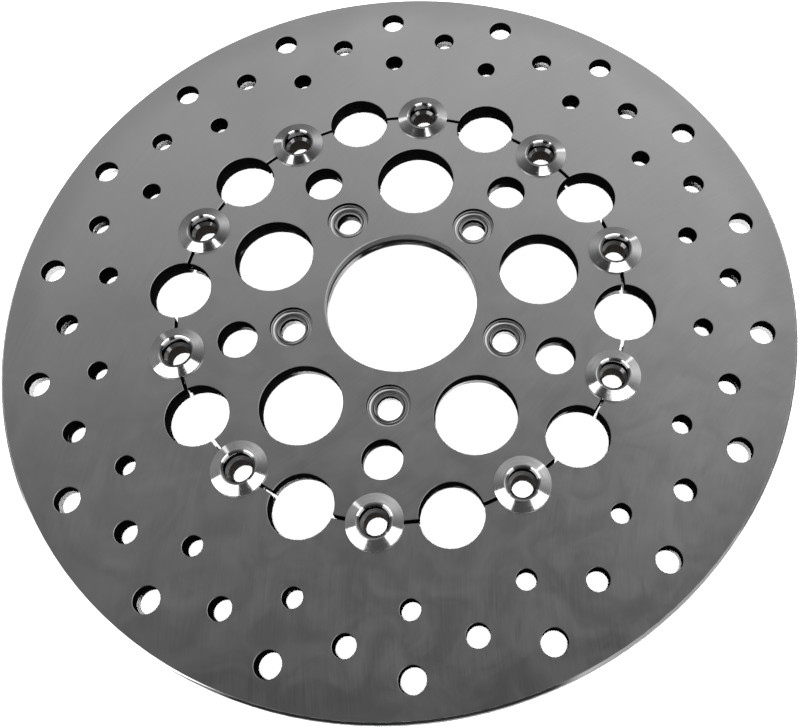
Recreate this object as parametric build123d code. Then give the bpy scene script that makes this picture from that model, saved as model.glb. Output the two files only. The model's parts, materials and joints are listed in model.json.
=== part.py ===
from build123d import *
import math
import os

# Floating brake disc for a motorcycle: a drilled friction ring hung on a flat
# carrier by ten hollow bobbins, each kept by a wave washer, a flat washer and
# a circlip on the back. Millimetres. The origin is the centre of the hub bore
# on the back face, +Z leaves the outer face, +Y runs through one large
# lightening hole of the carrier.

# Disc
DISC_OD = 292.1
DISC_THICKNESS = 5.08
RIM_CHAMFER = 0.8
EDGE_BREAK = 0.15

# Joint between the friction ring and the carrier
BOBBIN_COUNT = 10
BOBBIN_PCD = 166.2
BOBBIN_FIRST_ANGLE = 90.0
JOINT_GAP = 1.25
BOBBIN_SEAT_DIAMETER = 14.4
RELIEF_DIAMETER = 22.8

# Drilled holes of the friction ring: pitch circle, diameter, first angle
DRILL_COUNT = 18
DRILL_CLOCKING = 17.65
DRILL_STEP = 360.0 / DRILL_COUNT
DRILL_ROWS = [
    (266.6, 9.1, DRILL_CLOCKING),
    (246.6, 8.0, DRILL_CLOCKING + DRILL_STEP / 2),
    (223.5, 7.1, DRILL_CLOCKING),
]

# Carrier
HUB_BORE_DIAMETER = 56.4
BORE_CHAMFER = 0.3
SPOKE_COUNT = 5
LARGE_HOLE_PCD = 106.0
LARGE_HOLE_DIAMETER = 29.8
LARGE_HOLE_FIRST_ANGLE = 90.0
SMALL_HOLE_PCD = 122.3
SMALL_HOLE_DIAMETER = 14.6
SMALL_HOLE_FIRST_ANGLE = LARGE_HOLE_FIRST_ANGLE + 180.0 / SPOKE_COUNT
BOLT_PCD = 82.55
BOLT_HOLE_DIAMETER = 9.2
BOLT_SEAT_DIAMETER = 15.8
BOLT_SEAT_WALL = 1.7
BOLT_SEAT_DISH = 1.3
BOLT_SEAT_LIP = 0.6

# Bobbin: shank, flange with a conical face, stepped bore, circlip groove
FLANGE_SEAT_CLEARANCE = 0.03
SHANK_DIAMETER = 14.3
FLANGE_DIAMETER = 19.8
FLANGE_RIM = 0.75
FLANGE_HEIGHT = 1.75
CROWN_DIAMETER = 12.7
MOUTH_DIAMETER = 10.5
MOUTH_CHAMFER_DEPTH = 0.4
COUNTERBORE_DEPTH = 3.6
STEP_DEPTH = 0.8
THROUGH_BORE_DIAMETER = 7.8
SHANK_BELOW_DISC = 3.7
SHANK_END_CHAMFER = 0.4
BORE_END_CHAMFER = 0.3

# Retaining stack behind each bobbin, from the disc outwards
STACK_CLEARANCE = 0.03
WAVE_HEIGHT = 1.0
WAVE_THICKNESS = 0.4
WAVE_COUNT = 3
WAVE_POINTS = 24
WAVE_INNER_DIAMETER = 14.7
WAVE_OUTER_DIAMETER = 18.9
WASHER_THICKNESS = 0.8
WASHER_INNER_DIAMETER = 14.5
WASHER_OUTER_DIAMETER = 19.0
WASHER_EDGE = 0.1
GROOVE_DIAMETER = 13.4
GROOVE_WIDTH = 1.1
CIRCLIP_THICKNESS = 1.0
CIRCLIP_FIT = 0.02
CIRCLIP_RADIAL_WIDTH = 1.9
CIRCLIP_MOUTH_ANGLE = 26.0
CIRCLIP_EAR_DIAMETER = 3.6
CIRCLIP_EAR_HOLE = 1.5
CIRCLIP_EAR_PCD = 17.6
CIRCLIP_EAR_ANGLE = 13.5

# Derived levels
FRONT_FACE = DISC_THICKNESS
FLANGE_SEAT = FRONT_FACE + FLANGE_SEAT_CLEARANCE
CROWN_LEVEL = FLANGE_SEAT + FLANGE_HEIGHT
WAVE_TOP = -STACK_CLEARANCE
WASHER_TOP = WAVE_TOP - WAVE_HEIGHT - STACK_CLEARANCE
WASHER_BOTTOM = WASHER_TOP - WASHER_THICKNESS
CIRCLIP_TOP = WASHER_BOTTOM - CIRCLIP_FIT
GROOVE_TOP = WASHER_BOTTOM
SHANK_END = -SHANK_BELOW_DISC

# How far a cutter runs past the face it cuts, and how close two diameters must be to match
CUTTER_OVERRUN = 1.0
DIAMETER_MATCH = 0.01


def on_circle(diameter, count, first_angle):
    """Places equally spaced around the disc axis."""
    return PolarLocations(diameter / 2, count, start_angle=first_angle)


def circle_sketch(diameter, places):
    """One circle of the given diameter at each place, as a single sketch."""
    return Sketch() + [place * Circle(diameter / 2) for place in places]


def bobbin_places():
    return on_circle(BOBBIN_PCD, BOBBIN_COUNT, BOBBIN_FIRST_ANGLE)


def joint_cutouts():
    """Bobbin seats and relief scallops, shared by the ring and the carrier."""
    seats = circle_sketch(BOBBIN_SEAT_DIAMETER, bobbin_places())
    half_step = 180.0 / BOBBIN_COUNT
    relief_places = on_circle(BOBBIN_PCD, BOBBIN_COUNT, BOBBIN_FIRST_ANGLE + half_step)
    return seats + circle_sketch(RELIEF_DIAMETER, relief_places)


def face_edges(plate):
    """Every edge lying in either flat face of a plate."""
    levels = plate.edges().filter_by(Plane.XY).group_by(Axis.Z)
    return levels[0] + levels[-1]


def arcs_of_diameter(edges, diameter):
    """The circular edges of one diameter."""
    arcs = edges.filter_by(GeomType.CIRCLE)
    return arcs.filter_by(lambda edge: abs(2 * edge.radius - diameter) < DIAMETER_MATCH)


def chamfered_plate(plate, special_diameter, special_chamfer):
    """Every face edge is broken lightly, and one circular edge gets a larger chamfer."""
    special = arcs_of_diameter(face_edges(plate), special_diameter)
    others = face_edges(plate).filter_by(lambda edge: edge not in special)
    plate = chamfer(others, EDGE_BREAK)
    return chamfer(arcs_of_diameter(plate.edges(), special_diameter), special_chamfer)


def revolved(points):
    """A turned solid about Z from a closed (radius, height) outline."""
    return revolve(Plane.XZ * make_face(Polyline(*points, close=True)), Axis.Z)


def friction_ring():
    inner_diameter = BOBBIN_PCD + JOINT_GAP
    outline = Circle(DISC_OD / 2) - Circle(inner_diameter / 2) - joint_cutouts()
    for pitch_circle, diameter, first_angle in DRILL_ROWS:
        outline -= circle_sketch(diameter, on_circle(pitch_circle, DRILL_COUNT, first_angle))
    return chamfered_plate(extrude(outline, DISC_THICKNESS), DISC_OD, RIM_CHAMFER)


def bolt_hole_cutter():
    """One hub bolt hole, counterbored to a round-bottomed groove with a lip at the hole."""
    hole = BOLT_HOLE_DIAMETER / 2
    seat = BOLT_SEAT_DIAMETER / 2
    above = FRONT_FACE + CUTTER_OVERRUN
    below = -CUTTER_OVERRUN
    wall_end = (seat, FRONT_FACE - BOLT_SEAT_WALL)
    lip_edge = (hole + BOLT_SEAT_LIP, FRONT_FACE - BOLT_SEAT_WALL - BOLT_SEAT_DISH)
    groove = TangentArc(wall_end, lip_edge, tangent=(0, -1))
    outline = [lip_edge, (hole, lip_edge[1]), (hole, below), (0, below), (0, above), (seat, above), wall_end]
    rest = Polyline(*outline)
    return revolve(Plane.XZ * make_face([*groove.edges(), *rest.edges()]), Axis.Z)


def carrier():
    outer_diameter = BOBBIN_PCD - JOINT_GAP
    outline = Circle(outer_diameter / 2) - Circle(HUB_BORE_DIAMETER / 2) - joint_cutouts()
    large = on_circle(LARGE_HOLE_PCD, SPOKE_COUNT, LARGE_HOLE_FIRST_ANGLE)
    small = on_circle(SMALL_HOLE_PCD, SPOKE_COUNT, SMALL_HOLE_FIRST_ANGLE)
    outline -= circle_sketch(LARGE_HOLE_DIAMETER, large)
    outline -= circle_sketch(SMALL_HOLE_DIAMETER, small)
    plate = chamfered_plate(extrude(outline, DISC_THICKNESS), HUB_BORE_DIAMETER, BORE_CHAMFER)
    for place in on_circle(BOLT_PCD, SPOKE_COUNT, SMALL_HOLE_FIRST_ANGLE):
        plate -= place * bolt_hole_cutter()
    return plate


def bobbin():
    shank = SHANK_DIAMETER / 2
    flange = FLANGE_DIAMETER / 2
    crown = CROWN_DIAMETER / 2
    mouth = MOUTH_DIAMETER / 2
    bore = THROUGH_BORE_DIAMETER / 2
    groove = GROOVE_DIAMETER / 2
    step_top = CROWN_LEVEL - COUNTERBORE_DEPTH
    return revolved([
        (crown, CROWN_LEVEL),
        (flange, FLANGE_SEAT + FLANGE_RIM),
        (flange, FLANGE_SEAT),
        (shank, FLANGE_SEAT),
        (shank, GROOVE_TOP),
        (groove, GROOVE_TOP),
        (groove, GROOVE_TOP - GROOVE_WIDTH),
        (shank, GROOVE_TOP - GROOVE_WIDTH),
        (shank, SHANK_END + SHANK_END_CHAMFER),
        (shank - SHANK_END_CHAMFER, SHANK_END),
        (bore + BORE_END_CHAMFER, SHANK_END),
        (bore, SHANK_END + BORE_END_CHAMFER),
        (bore, step_top - STEP_DEPTH),
        (mouth, step_top),
        (mouth, CROWN_LEVEL - MOUTH_CHAMFER_DEPTH),
    ])


def wave_curve(radius, level):
    """Closed curve on a cylinder that rises and falls WAVE_COUNT times."""
    swing = (WAVE_HEIGHT - WAVE_THICKNESS) / 2
    points = []
    for index in range(WAVE_POINTS):
        turn = 2 * math.pi * index / WAVE_POINTS
        rise = swing * math.cos(WAVE_COUNT * turn)
        points.append(Vector(radius * math.cos(turn), radius * math.sin(turn), level + rise))
    return Edge.make_spline(points, periodic=True)


def wave_washer():
    """Spring washer: a flat strip that waves between the disc and the flat washer."""
    middle_level = WAVE_TOP - WAVE_HEIGHT / 2
    upper_level = middle_level + WAVE_THICKNESS / 2
    lower_level = middle_level - WAVE_THICKNESS / 2
    inner = WAVE_INNER_DIAMETER / 2
    outer = WAVE_OUTER_DIAMETER / 2
    corners = [
        wave_curve(inner, upper_level),
        wave_curve(outer, upper_level),
        wave_curve(outer, lower_level),
        wave_curve(inner, lower_level),
    ]
    neighbours = zip(corners, corners[1:] + corners[:1])
    return Solid(Shell([Face.make_surface_from_curves(one, other) for one, other in neighbours]))


def flat_washer():
    outline = Circle(WASHER_OUTER_DIAMETER / 2) - Circle(WASHER_INNER_DIAMETER / 2)
    plate = Pos(0, 0, WASHER_BOTTOM) * extrude(outline, WASHER_THICKNESS)
    return chamfer(face_edges(plate), WASHER_EDGE)


def circlip():
    """External retaining ring with two eared ends, mouth towards the disc rim."""
    inner = GROOVE_DIAMETER / 2 + CIRCLIP_FIT
    outer = inner + CIRCLIP_RADIAL_WIDTH
    past_outer = outer + CUTTER_OVERRUN
    side = past_outer * math.tan(math.radians(CIRCLIP_MOUTH_ANGLE / 2))
    mouth = make_face(Polyline((0, 0), (past_outer, side), (past_outer, -side), close=True))
    ear_angle = (CIRCLIP_MOUTH_ANGLE + CIRCLIP_EAR_ANGLE) / 2
    ears = [Rot(0, 0, angle) * Pos(CIRCLIP_EAR_PCD / 2, 0) for angle in (ear_angle, -ear_angle)]
    outline = Circle(outer) - mouth
    outline += circle_sketch(CIRCLIP_EAR_DIAMETER, ears)
    outline -= Circle(inner)
    outline -= circle_sketch(CIRCLIP_EAR_HOLE, ears)
    return Pos(0, 0, CIRCLIP_TOP - CIRCLIP_THICKNESS) * extrude(outline, CIRCLIP_THICKNESS)


def write(solid, node):
    solid.label = node
    export_step(solid, f"parts/{node}.step")


def main():
    os.makedirs("parts", exist_ok=True)
    write(friction_ring(), "friction_ring")
    write(carrier(), "carrier")
    sub_parts = {
        "bobbin": bobbin(),
        "wave_washer": wave_washer(),
        "flat_washer": flat_washer(),
        "circlip": circlip(),
    }
    for number, place in enumerate(bobbin_places(), start=1):
        for name, solid in sub_parts.items():
            write(place * solid, f"{name}_{number:02d}")


main()
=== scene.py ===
import json
import math

import bmesh
import bpy
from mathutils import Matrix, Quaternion, Vector


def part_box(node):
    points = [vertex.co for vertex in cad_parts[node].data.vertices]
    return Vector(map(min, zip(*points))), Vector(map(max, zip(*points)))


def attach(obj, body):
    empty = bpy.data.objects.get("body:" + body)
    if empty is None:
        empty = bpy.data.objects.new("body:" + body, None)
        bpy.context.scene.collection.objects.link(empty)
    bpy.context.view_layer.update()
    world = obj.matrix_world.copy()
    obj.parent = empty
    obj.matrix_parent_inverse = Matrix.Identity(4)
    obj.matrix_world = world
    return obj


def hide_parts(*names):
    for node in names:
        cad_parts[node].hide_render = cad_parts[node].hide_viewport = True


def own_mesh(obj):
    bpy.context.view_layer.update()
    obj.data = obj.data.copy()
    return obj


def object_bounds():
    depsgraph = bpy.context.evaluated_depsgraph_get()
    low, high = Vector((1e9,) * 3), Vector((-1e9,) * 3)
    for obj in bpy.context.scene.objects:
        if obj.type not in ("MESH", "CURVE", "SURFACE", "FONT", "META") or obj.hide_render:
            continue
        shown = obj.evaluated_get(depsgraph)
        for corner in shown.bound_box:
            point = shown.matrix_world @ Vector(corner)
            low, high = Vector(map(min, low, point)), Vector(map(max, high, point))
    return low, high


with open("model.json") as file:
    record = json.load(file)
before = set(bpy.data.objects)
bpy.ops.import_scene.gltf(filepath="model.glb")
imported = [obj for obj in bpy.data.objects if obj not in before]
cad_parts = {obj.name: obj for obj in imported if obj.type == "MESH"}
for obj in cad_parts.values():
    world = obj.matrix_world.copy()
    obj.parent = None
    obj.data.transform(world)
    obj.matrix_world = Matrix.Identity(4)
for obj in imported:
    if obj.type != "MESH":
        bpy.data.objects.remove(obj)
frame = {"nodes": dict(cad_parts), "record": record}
cad_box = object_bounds()

MM = 0.001
NODES = frame["nodes"]
BOBBINS = [f"{number:02d}" for number in range(1, 11)]

# Places read from the frame
DISC_LOW, DISC_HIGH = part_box("friction_ring")
DISC_RADIUS = DISC_HIGH.x
FRONT_FACE = DISC_HIGH.z
HUB_RADIUS = frame["record"]["mounts"][0]["dims"]["r_mm"] * MM
BOLT_CIRCLE = frame["record"]["mounts"][1]["dims"]["pcd_mm"] / 2 * MM
BOLT_HOLE = frame["record"]["mounts"][1]["dims"]["hole_r_mm"] * MM

# Turned and machined details that the materials follow
BOLT_STEP = math.radians(72.0)
FIRST_BOLT = math.radians(54.0)
BOLT_SEAT = 7.9 * MM
SEAT_WALL = 1.7 * MM
RIM_CHAMFER = 0.8 * MM
BOBBIN_LIP = 5.8 * MM
BOBBIN_MOUTH = 5.28 * MM
BOBBIN_BORE = 4.0 * MM

# The spring washers behind the disc
WASHER_BAND = 2.1 * MM
WASHER_THICKNESS = 0.4 * MM
WASHER_EDGE = 0.08 * MM
WASHER_WAVES = 3


# ---------------------------------------------------------------- node helpers

def node(tree, kind, inputs=None, **settings):
    """A shader node with its settings and its inputs, which are values or other sockets."""
    made = tree.nodes.new(kind)
    for name, value in settings.items():
        setattr(made, name, value)
    for name, value in (inputs or {}).items():
        feed(tree, made.inputs[name], value)
    return made


def feed(tree, socket, value):
    if isinstance(value, bpy.types.NodeSocket):
        tree.links.new(value, socket)
    else:
        socket.default_value = value


def calc(tree, operation, first, second=0.0, clamp=False):
    made = tree.nodes.new("ShaderNodeMath")
    made.operation = operation
    made.use_clamp = clamp
    feed(tree, made.inputs[0], first)
    feed(tree, made.inputs[1], second)
    return made.outputs[0]


def ramp(tree, value, low, high, start=0.0, end=1.0):
    """value mapped smoothly from low..high to start..end and held outside."""
    made = node(tree, "ShaderNodeMapRange", interpolation_type="SMOOTHSTEP")
    feed(tree, made.inputs["Value"], value)
    for name, number in (("From Min", low), ("From Max", high), ("To Min", start), ("To Max", end)):
        made.inputs[name].default_value = number
    return made.outputs["Result"]


def inside(tree, value, limit, blend):
    """1 up to limit, fading to 0 over blend."""
    return ramp(tree, value, limit, limit + blend, 1.0, 0.0)


def beyond(tree, value, limit, blend):
    """0 up to limit, rising to 1 over blend."""
    return ramp(tree, value, limit, limit + blend)


def mix_color(tree, factor, first, second, blend="MIX"):
    made = node(tree, "ShaderNodeMix", data_type="RGBA", blend_type=blend)
    feed(tree, made.inputs[0], factor)
    feed(tree, made.inputs[6], first)
    feed(tree, made.inputs[7], second)
    return made.outputs[2]


def mix_value(tree, factor, first, second):
    made = node(tree, "ShaderNodeMix", data_type="FLOAT")
    feed(tree, made.inputs[0], factor)
    feed(tree, made.inputs[2], first)
    feed(tree, made.inputs[3], second)
    return made.outputs[0]


def grey(level, warmth=0.0):
    return (level * (1 + warmth), level, level * (1 - warmth), 1.0)


def noise(tree, vector, scale, detail=4.0, roughness=0.5, distortion=0.0):
    made = node(tree, "ShaderNodeTexNoise", noise_dimensions="3D")
    feed(tree, made.inputs["Vector"], vector)
    made.inputs["Scale"].default_value = scale
    made.inputs["Detail"].default_value = detail
    made.inputs["Roughness"].default_value = roughness
    made.inputs["Distortion"].default_value = distortion
    return made.outputs["Fac"]


def new_material(name):
    """An empty node material: its tree, its Principled shader and the row-frame position."""
    material = bpy.data.materials.new(name)
    material.use_nodes = True
    tree = material.node_tree
    shader = tree.nodes["Principled BSDF"]
    place = node(tree, "ShaderNodeTexCoord").outputs["Object"]
    return material, tree, shader, place


def polar(tree, place, centre):
    """Distance and angle about a vertical axis through centre, and the height."""
    moved = node(tree, "ShaderNodeVectorMath", operation="SUBTRACT")
    feed(tree, moved.inputs[0], place)
    moved.inputs[1].default_value = centre
    parts = node(tree, "ShaderNodeSeparateXYZ", {"Vector": moved.outputs[0]})
    x, y, z = parts.outputs[0], parts.outputs[1], parts.outputs[2]
    squares = calc(tree, "ADD", calc(tree, "MULTIPLY", x, x), calc(tree, "MULTIPLY", y, y))
    return calc(tree, "SQRT", squares), calc(tree, "ARCTAN2", y, x), z


def from_nearest_bolt(tree, radius, angle):
    """Distance from the axis of the nearest of the five hub bolts."""
    shifted = calc(tree, "ADD", angle, BOLT_STEP / 2 - FIRST_BOLT)
    folded = calc(tree, "SUBTRACT", calc(tree, "FLOORED_MODULO", shifted, BOLT_STEP), BOLT_STEP / 2)
    reach = calc(tree, "MULTIPLY", radius, 2 * BOLT_CIRCLE)
    reach = calc(tree, "MULTIPLY", reach, calc(tree, "COSINE", folded))
    squares = calc(tree, "ADD", calc(tree, "MULTIPLY", radius, radius), BOLT_CIRCLE * BOLT_CIRCLE)
    return calc(tree, "SQRT", calc(tree, "SUBTRACT", squares, reach, clamp=True))


def grooves(tree, distance, angle, per_metre, per_radian):
    """Noise drawn out along circles, as a tool leaves it: fine across, long around."""
    across = calc(tree, "MULTIPLY", distance, per_metre)
    around = calc(tree, "MULTIPLY", angle, per_radian)
    where = node(tree, "ShaderNodeCombineXYZ", {"X": across, "Y": around})
    return noise(tree, where.outputs[0], 1.0, detail=3.0, roughness=0.6)


def upright_share(tree):
    """1 on walls that stand along the disc axis, 0 on faces across it."""
    normal = node(tree, "ShaderNodeNewGeometry").outputs["True Normal"]
    parts = node(tree, "ShaderNodeSeparateXYZ", {"Vector": normal})
    level = calc(tree, "ABSOLUTE", parts.outputs[2])
    return ramp(tree, level, 0.25, 0.55, 1.0, 0.0)


def bump(tree, shader, height, distance, strength=1.0):
    made = node(tree, "ShaderNodeBump", {"Height": height})
    made.inputs["Distance"].default_value = distance
    made.inputs["Strength"].default_value = strength
    tree.links.new(made.outputs[0], shader.inputs["Normal"])


# ------------------------------------------------------------------- materials

def ground_face(tree, place, radius, lines, smear, level):
    """Color and roughness of a ground face: clouds, smears, fine lines, specks and painted shade
    darkening the outer rim.
    """
    cloud = noise(tree, place, 16.0, detail=3.0, distortion=0.6)
    speck = ramp(tree, noise(tree, place, 800.0, detail=1.0, distortion=0.8), 0.82, 0.88)
    shade = calc(tree, "ADD", ramp(tree, cloud, 0.3, 0.7, 0.95, 1.05),
                 ramp(tree, smear, 0.3, 0.75, -0.03, 0.03))
    shade = calc(tree, "ADD", shade, ramp(tree, lines, 0.3, 0.7, -0.03, 0.03))
    shade = calc(tree, "SUBTRACT", shade, calc(tree, "MULTIPLY", speck, 0.2))
    # painted shade: the face darkens towards the outer rim
    rim_painted_shade = ramp(tree, radius, DISC_RADIUS - 17 * MM, DISC_RADIUS - 3 * MM, 1.0, 0.88)
    shade = calc(tree, "MULTIPLY", shade, rim_painted_shade)
    rough = calc(tree, "ADD", ramp(tree, smear, 0.3, 0.7, 0.30, 0.36),
                 ramp(tree, lines, 0.2, 0.8, -0.02, 0.02))
    return mix_color(tree, 1.0, grey(level), shade, "MULTIPLY"), rough


def plate_wall(tree, radius, height, lines):
    """Color of the walls, painted dark as shade: near black in the holes, dark below and lighter above in
    the bore, dark grey on the rim; and where they are bright metal.
    """
    # painted shade: the hole walls are near black
    hole_wall_painted_shade = mix_color(tree, ramp(tree, lines, 0.3, 0.7), grey(0.003), grey(0.006))
    bore = inside(tree, radius, HUB_RADIUS + 0.4 * MM, 0.4 * MM)
    # painted shade: the bore wall is dark in its lower part and lighter above
    bore_lit = ramp(tree, height, 0.28 * FRONT_FACE, 0.38 * FRONT_FACE)
    bore_color = mix_color(tree, bore_lit, grey(0.01), grey(0.07))
    rim = ramp(tree, radius, DISC_RADIUS - RIM_CHAMFER, DISC_RADIUS - 0.2 * MM)
    # painted shade: the rim wall is dark grey
    rim_color = mix_color(tree, ramp(tree, lines, 0.3, 0.7), grey(0.04), grey(0.08))
    color = mix_color(tree, bore, hole_wall_painted_shade, bore_color)
    color = mix_color(tree, rim, color, rim_color)
    return color, calc(tree, "MAXIMUM", calc(tree, "MULTIPLY", bore, bore_lit), rim)


def bolt_seats(tree, radius, angle, height):
    """Share and color of the polished seats sunk around the hub bolt holes."""
    off_bolt = from_nearest_bolt(tree, radius, angle)
    share = calc(tree, "MULTIPLY", beyond(tree, off_bolt, BOLT_HOLE + 0.02 * MM, 0.08 * MM),
                 inside(tree, off_bolt, BOLT_SEAT + 0.02 * MM, 0.08 * MM))
    sunk = inside(tree, height, FRONT_FACE - 1.05 * SEAT_WALL, 0.1 * SEAT_WALL)
    rings = node(tree, "ShaderNodeCombineXYZ", {
        "X": calc(tree, "MULTIPLY", off_bolt, 5000.0),
        "Y": calc(tree, "MULTIPLY", angle, 9.0),
    })
    marks = noise(tree, rings.outputs[0], 1.0)
    color = mix_color(tree, ramp(tree, marks, 0.3, 0.7), grey(0.42), grey(0.8))
    return calc(tree, "MULTIPLY", share, sunk), color


def rim_chamfer(tree, place, radius, wall):
    """Share and color of the rim's chamfer: a painted highlight on the near side and painted shade on the
    rest.
    """
    share = calc(tree, "MULTIPLY", beyond(tree, radius, DISC_RADIUS - RIM_CHAMFER - 0.02 * MM, 0.04 * MM),
                 calc(tree, "SUBTRACT", 1.0, wall))
    across = node(tree, "ShaderNodeSeparateXYZ", {"Vector": place}).outputs[1]
    # painted highlight on the near side of the chamfer, painted shade elsewhere
    color = mix_color(tree, ramp(tree, across, -92 * MM, -75 * MM), grey(0.55), grey(0.05))
    return share, color


def plate_material(name, face_level, grind_centre):
    """Ground stainless plate: hazy faces, walls painted dark as shade, polished bolt seats, a bore and
    rim painted less dark, and a rim chamfer painted bright on the near side.
    """
    material, tree, shader, place = new_material(name)
    radius, angle, height = polar(tree, place, (0, 0, 0))
    far, turn, _ = polar(tree, place, grind_centre)
    lines = grooves(tree, far, turn, 2600.0, 9.0)
    smear = noise(tree, place, 55.0, detail=5.0, roughness=0.6, distortion=1.2)
    wall = upright_share(tree)

    face_color, face_rough = ground_face(tree, place, radius, lines, smear, face_level)
    wall_painted_shade, bright_wall = plate_wall(tree, radius, height, lines)
    seat, seat_color = bolt_seats(tree, radius, angle, height)
    edge, chamfer_painted_light = rim_chamfer(tree, place, radius, wall)

    color = mix_color(tree, wall, face_color, wall_painted_shade)
    color = mix_color(tree, seat, color, seat_color)
    feed(tree, shader.inputs["Base Color"], mix_color(tree, edge, color, chamfer_painted_light))
    rough = mix_value(tree, wall, face_rough, mix_value(tree, bright_wall, 1.0, 0.4))
    rough = mix_value(tree, seat, rough, 0.12)
    feed(tree, shader.inputs["Roughness"], mix_value(tree, edge, rough, 0.06))
    metal = mix_value(tree, wall, 1.0, bright_wall)
    feed(tree, shader.inputs["Metallic"], calc(tree, "MAXIMUM", metal, seat))
    shader.inputs["Specular IOR Level"].default_value = 0.0
    relief = calc(tree, "ADD", lines, calc(tree, "MULTIPLY", smear, 0.5))
    bump(tree, shader, relief, 0.5e-6)
    return material


def bobbin_material(number, centre):
    """Turned and polished steel: circular tool marks, and painted shade darkening the inner lip, the
    stepped mouth and the dull bore.
    """
    material, tree, shader, place = new_material(f"bobbin_steel_{number}")
    radius, turn, _ = polar(tree, place, centre)
    marks = grooves(tree, radius, turn, 9000.0, 1.3)
    stain = noise(tree, place, 420.0, detail=3.0)
    polish = mix_color(tree, ramp(tree, marks, 0.3, 0.7), grey(0.36), grey(0.52))
    polish = mix_color(tree, ramp(tree, stain, 0.55, 0.8, 0.0, 0.3), polish, grey(0.20))
    # painted shade: the inner lip is darker than the polished cone
    lip = inside(tree, radius, BOBBIN_LIP, 0.15 * MM)
    lip_painted_shade = mix_color(tree, ramp(tree, marks, 0.3, 0.7), grey(0.06), grey(0.17))
    polish = mix_color(tree, lip, polish, lip_painted_shade)
    # painted shade: the stepped mouth and the bore are darker still, the bore with a warm tint
    mouth = inside(tree, radius, BOBBIN_MOUTH, 0.06 * MM)
    bore = inside(tree, radius, BOBBIN_BORE, 0.1 * MM)
    mouth_painted_shade = mix_color(tree, ramp(tree, marks, 0.35, 0.65), grey(0.02), grey(0.16))
    bore_color = mix_color(tree, ramp(tree, marks, 0.3, 0.7), grey(0.022, 0.15), grey(0.05, 0.12))
    base = mix_color(tree, mouth, polish, mouth_painted_shade)
    feed(tree, shader.inputs["Base Color"], mix_color(tree, bore, base, bore_color))
    fine = ramp(tree, marks, 0.2, 0.8, 0.06, 0.12)
    feed(tree, shader.inputs["Roughness"], mix_value(tree, bore, fine, 0.5))
    feed(tree, shader.inputs["Metallic"], calc(tree, "SUBTRACT", 1.0, calc(tree, "MULTIPLY", bore, 0.9)))
    shader.inputs["Specular IOR Level"].default_value = 0.0
    bump(tree, shader, marks, 0.4e-6)
    return material


def stamped_material(name, level, warmth, rough, grain=700.0):
    """Small stamped steel part: fine grain and darker patches of stain."""
    material, tree, shader, place = new_material(name)
    fine = noise(tree, place, grain, detail=4.0, roughness=0.65)
    patch = noise(tree, place, 180.0, detail=2.0)
    base = mix_color(tree, ramp(tree, fine, 0.3, 0.7), grey(level * 0.82, warmth), grey(level, warmth))
    base = mix_color(tree, ramp(tree, patch, 0.55, 0.8, 0.0, 0.5), base, grey(level * 0.6, warmth))
    feed(tree, shader.inputs["Base Color"], base)
    feed(tree, shader.inputs["Roughness"], ramp(tree, fine, 0.2, 0.8, rough - 0.06, rough + 0.08))
    shader.inputs["Metallic"].default_value = 1.0
    bump(tree, shader, fine, 4e-6)
    return material


def paint(node_name, material):
    slots = NODES[node_name].data.materials
    slots.clear()
    slots.append(material)


def centre_of(node_name):
    low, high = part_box(node_name)
    return (low + high) / 2


def dress_frame():
    paint("friction_ring", plate_material("ring_steel_ground", 0.56, (0.21, -0.09, 0)))
    paint("carrier", plate_material("carrier_steel_ground", 0.54, (-0.16, 0.12, 0)))
    washer = stamped_material("washer_zinc", 0.62, 0.01, 0.32)
    clip = stamped_material("circlip_phosphate", 0.10, -0.02, 0.42, grain=1200.0)
    for number in BOBBINS:
        middle = centre_of(f"bobbin_{number}")
        paint(f"bobbin_{number}", bobbin_material(number, middle))
        paint(f"flat_washer_{number}", washer)
        paint(f"circlip_{number}", clip)


# ---------------------------------------------------------------- wave washers

def wave_washer(number, material):
    """A spring washer with rounded edges, in place of the plain CAD one."""
    low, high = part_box(f"wave_washer_{number}")
    middle = (low + high) / 2
    outer = (high.x - low.x) / 2
    inner = outer - WASHER_BAND
    swing = (high.z - low.z - WASHER_THICKNESS) / 2
    half = WASHER_THICKNESS / 2
    edge = WASHER_EDGE
    around = 144
    section = [
        (inner + edge, half), (outer - edge, half), (outer, half - edge), (outer, edge - half),
        (outer - edge, -half), (inner + edge, -half), (inner, edge - half), (inner, half - edge),
    ]
    mesh = bmesh.new()
    rings = []
    for step in range(around):
        turn = 2 * math.pi * step / around
        rise = swing * math.cos(WASHER_WAVES * turn)
        rings.append([
            mesh.verts.new((
                middle.x + radius * math.cos(turn),
                middle.y + radius * math.sin(turn),
                middle.z + rise + level,
            ))
            for radius, level in section
        ])
    for step in range(around):
        here, there = rings[step], rings[(step + 1) % around]
        for corner in range(len(section)):
            other = (corner + 1) % len(section)
            mesh.faces.new((here[corner], here[other], there[other], there[corner]))
    bmesh.ops.recalc_face_normals(mesh, faces=mesh.faces)
    data = bpy.data.meshes.new(f"spring_washer_{number}")
    mesh.to_mesh(data)
    mesh.free()
    data.materials.append(material)
    for face in data.polygons:
        face.use_smooth = True
    washer = bpy.data.objects.new(f"spring_washer_{number}", data)
    bpy.context.scene.collection.objects.link(washer)
    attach(washer, "carrier")
    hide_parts(f"wave_washer_{number}")
    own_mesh(washer)


# ------------------------------------------------------------- stage and lights

def add_floor():
    """A plain matt table top that the bobbins rest on. Its own strong lamps make it look white."""
    bpy.ops.mesh.primitive_plane_add(size=16.0, location=(0, 0, cad_box[0][2]))
    floor = bpy.context.object
    floor.name = "studio_floor"
    material = bpy.data.materials.new("studio_table")
    material.use_nodes = True
    shader = material.node_tree.nodes["Principled BSDF"]
    shader.inputs["Base Color"].default_value = grey(0.02)
    shader.inputs["Roughness"].default_value = 1.0
    shader.inputs["Specular IOR Level"].default_value = 0.0
    floor.data.materials.append(material)
    return floor


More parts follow.
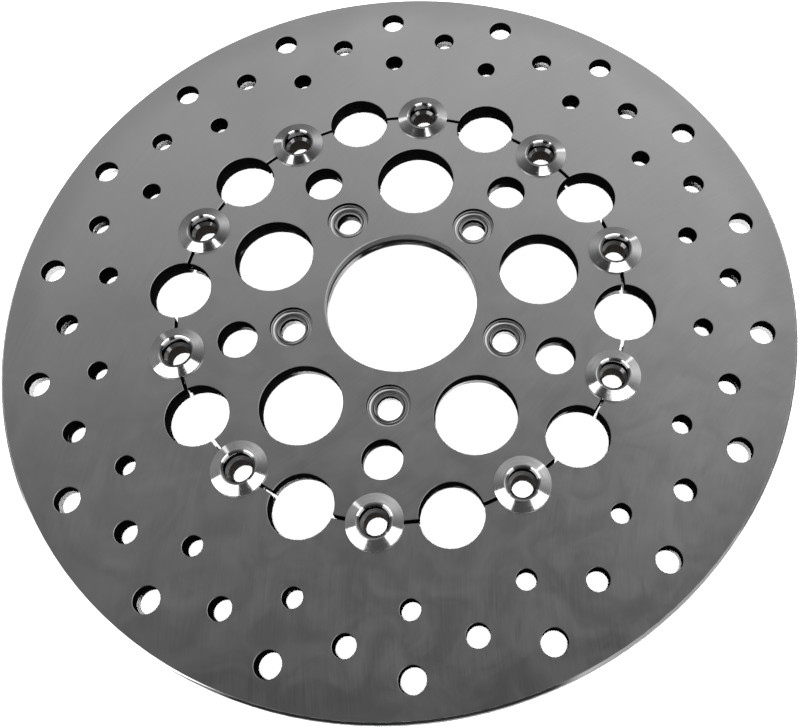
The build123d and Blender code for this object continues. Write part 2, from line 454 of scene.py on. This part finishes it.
def add_table_sun(name, table, direction, energy, spread):
    """A distant lamp from a direction, spread degrees wide, that lights the table only."""
    light = bpy.data.lights.new(name, "SUN")
    light.energy = energy
    light.angle = math.radians(spread)
    lamp = bpy.data.objects.new(name, light)
    lamp.rotation_euler = Vector(direction).to_track_quat("Z", "Y").to_euler()
    bpy.context.scene.collection.objects.link(lamp)
    lamp.light_linking.receiver_collection = table


def add_table_lamps(floor):
    """A nearly overhead lamp, and five low ones from the right, around the far side, to the left."""
    table = bpy.data.collections.new("table_top")
    table.objects.link(floor)
    add_table_sun("table_key", table, (0.03, -0.13, 1.0), energy=165.0, spread=3.0)
    low = math.tan(math.radians(12.0))
    for number in range(5):
        turn = math.pi * number / 4
        direction = (math.cos(turn), math.sin(turn), low)
        add_table_sun(f"table_low_{number}", table, direction, energy=265.0, spread=3.0)


SOFTBOX_DISTANCE = 1.6

# How bright the dome is, from straight overhead (0) to the horizon (1)
DOME_LEVELS = [
    (0.0, 0.035), (0.13, 0.048), (0.30, 0.13), (0.45, 0.29), (0.52, 0.47), (0.59, 0.72),
    (0.66, 1.02), (0.76, 0.75), (0.86, 0.34), (0.93, 0.36), (0.97, 0.9), (1.0, 1.0),
]


def add_sky():
    """A soft dome: dim overhead, brightest in a band two thirds out, brighter right, dark near."""
    world = bpy.data.worlds.new("studio_dome")
    bpy.context.scene.world = world
    world.use_nodes = True
    tree = world.node_tree
    direction = node(tree, "ShaderNodeTexCoord").outputs["Generated"]
    parts = node(tree, "ShaderNodeSeparateXYZ", {"Vector": direction})
    across = calc(tree, "MULTIPLY", parts.outputs[0], 0.85)
    along = parts.outputs[1]
    tilt = calc(tree, "SQRT", calc(tree, "ADD", calc(tree, "MULTIPLY", across, across),
                                   calc(tree, "MULTIPLY", along, along)))
    side = calc(tree, "ADD", 1.0, calc(tree, "MULTIPLY", parts.outputs[0], 0.70))
    scale = node(tree, "ShaderNodeValToRGB", {"Fac": tilt})
    scale.color_ramp.interpolation = "B_SPLINE"
    for place, _ in DOME_LEVELS[1:-1]:
        scale.color_ramp.elements.new(place)
    for stop, (place, level) in zip(scale.color_ramp.elements, DOME_LEVELS):
        stop.position = place
        stop.color = grey(level)
    shade = tree.nodes["Background"]
    feed(tree, shade.inputs["Color"], scale.outputs["Color"])
    near = ramp(tree, along, -0.87, -0.80, 0.04, 1.0)
    feed(tree, shade.inputs["Strength"], calc(tree, "MULTIPLY", side, near))


def add_softbox(name, polished, direction, width, height, radiance):
    """A rectangular lamp facing the disc from a direction, which lights the polished parts only."""
    light = bpy.data.lights.new(name, "AREA")
    light.shape = "RECTANGLE"
    light.size = width
    light.size_y = height
    light.energy = radiance * math.pi * width * height
    lamp = bpy.data.objects.new(name, light)
    toward = Vector(direction).normalized()
    lamp.location = toward * SOFTBOX_DISTANCE
    lamp.rotation_euler = toward.to_track_quat("Z", "Y").to_euler()
    bpy.context.scene.collection.objects.link(lamp)
    lamp.light_linking.receiver_collection = polished


def add_lights():
    """Lamps whose reflections show in the polished bobbins, not in the ground faces."""
    polished = bpy.data.collections.new("polished_parts")
    for number in BOBBINS:
        polished.objects.link(NODES[f"bobbin_{number}"])
    add_softbox("softbox_left", polished, (-0.48, -0.16, 0.86), width=0.75, height=0.85, radiance=4.0)
    add_softbox("softbox_right", polished, (0.27, -0.07, 0.96), width=0.54, height=1.00, radiance=4.0)
    add_softbox("strip_right", polished, (0.40, 0.66, 0.63), width=0.08, height=0.5, radiance=1.6)
    add_softbox("strip_left", polished, (-0.58, 0.55, 0.60), width=0.10, height=0.5, radiance=1.6)


def add_camera():
    """Above the near edge, a little to the right, looking down at the disc."""
    place = Vector((0.05516, -0.17769, 0.36941))
    target = Vector((0.03945, 0.01764, FRONT_FACE))
    roll = math.radians(-1.315)
    camera = bpy.data.cameras.new("camera")
    camera.lens = 49.28
    camera.sensor_width = 36.0
    camera.shift_x = -0.1375
    camera.shift_y = -0.125
    camera.clip_start = 0.01
    viewer = bpy.data.objects.new("camera", camera)
    viewer.location = place
    viewer.rotation_mode = "QUATERNION"
    aim = (target - place).to_track_quat("-Z", "Y")
    viewer.rotation_quaternion = aim @ Quaternion((0, 0, 1), roll)
    bpy.context.scene.collection.objects.link(viewer)
    bpy.context.scene.camera = viewer


dress_frame()
spring = stamped_material("spring_steel_blued", 0.30, 0.05, 0.30, grain=900.0)
for number in BOBBINS:
    wave_washer(number, spring)
add_table_lamps(add_floor())
add_sky()
add_lights()
add_camera()
bpy.context.scene.view_settings.view_transform = "Standard"
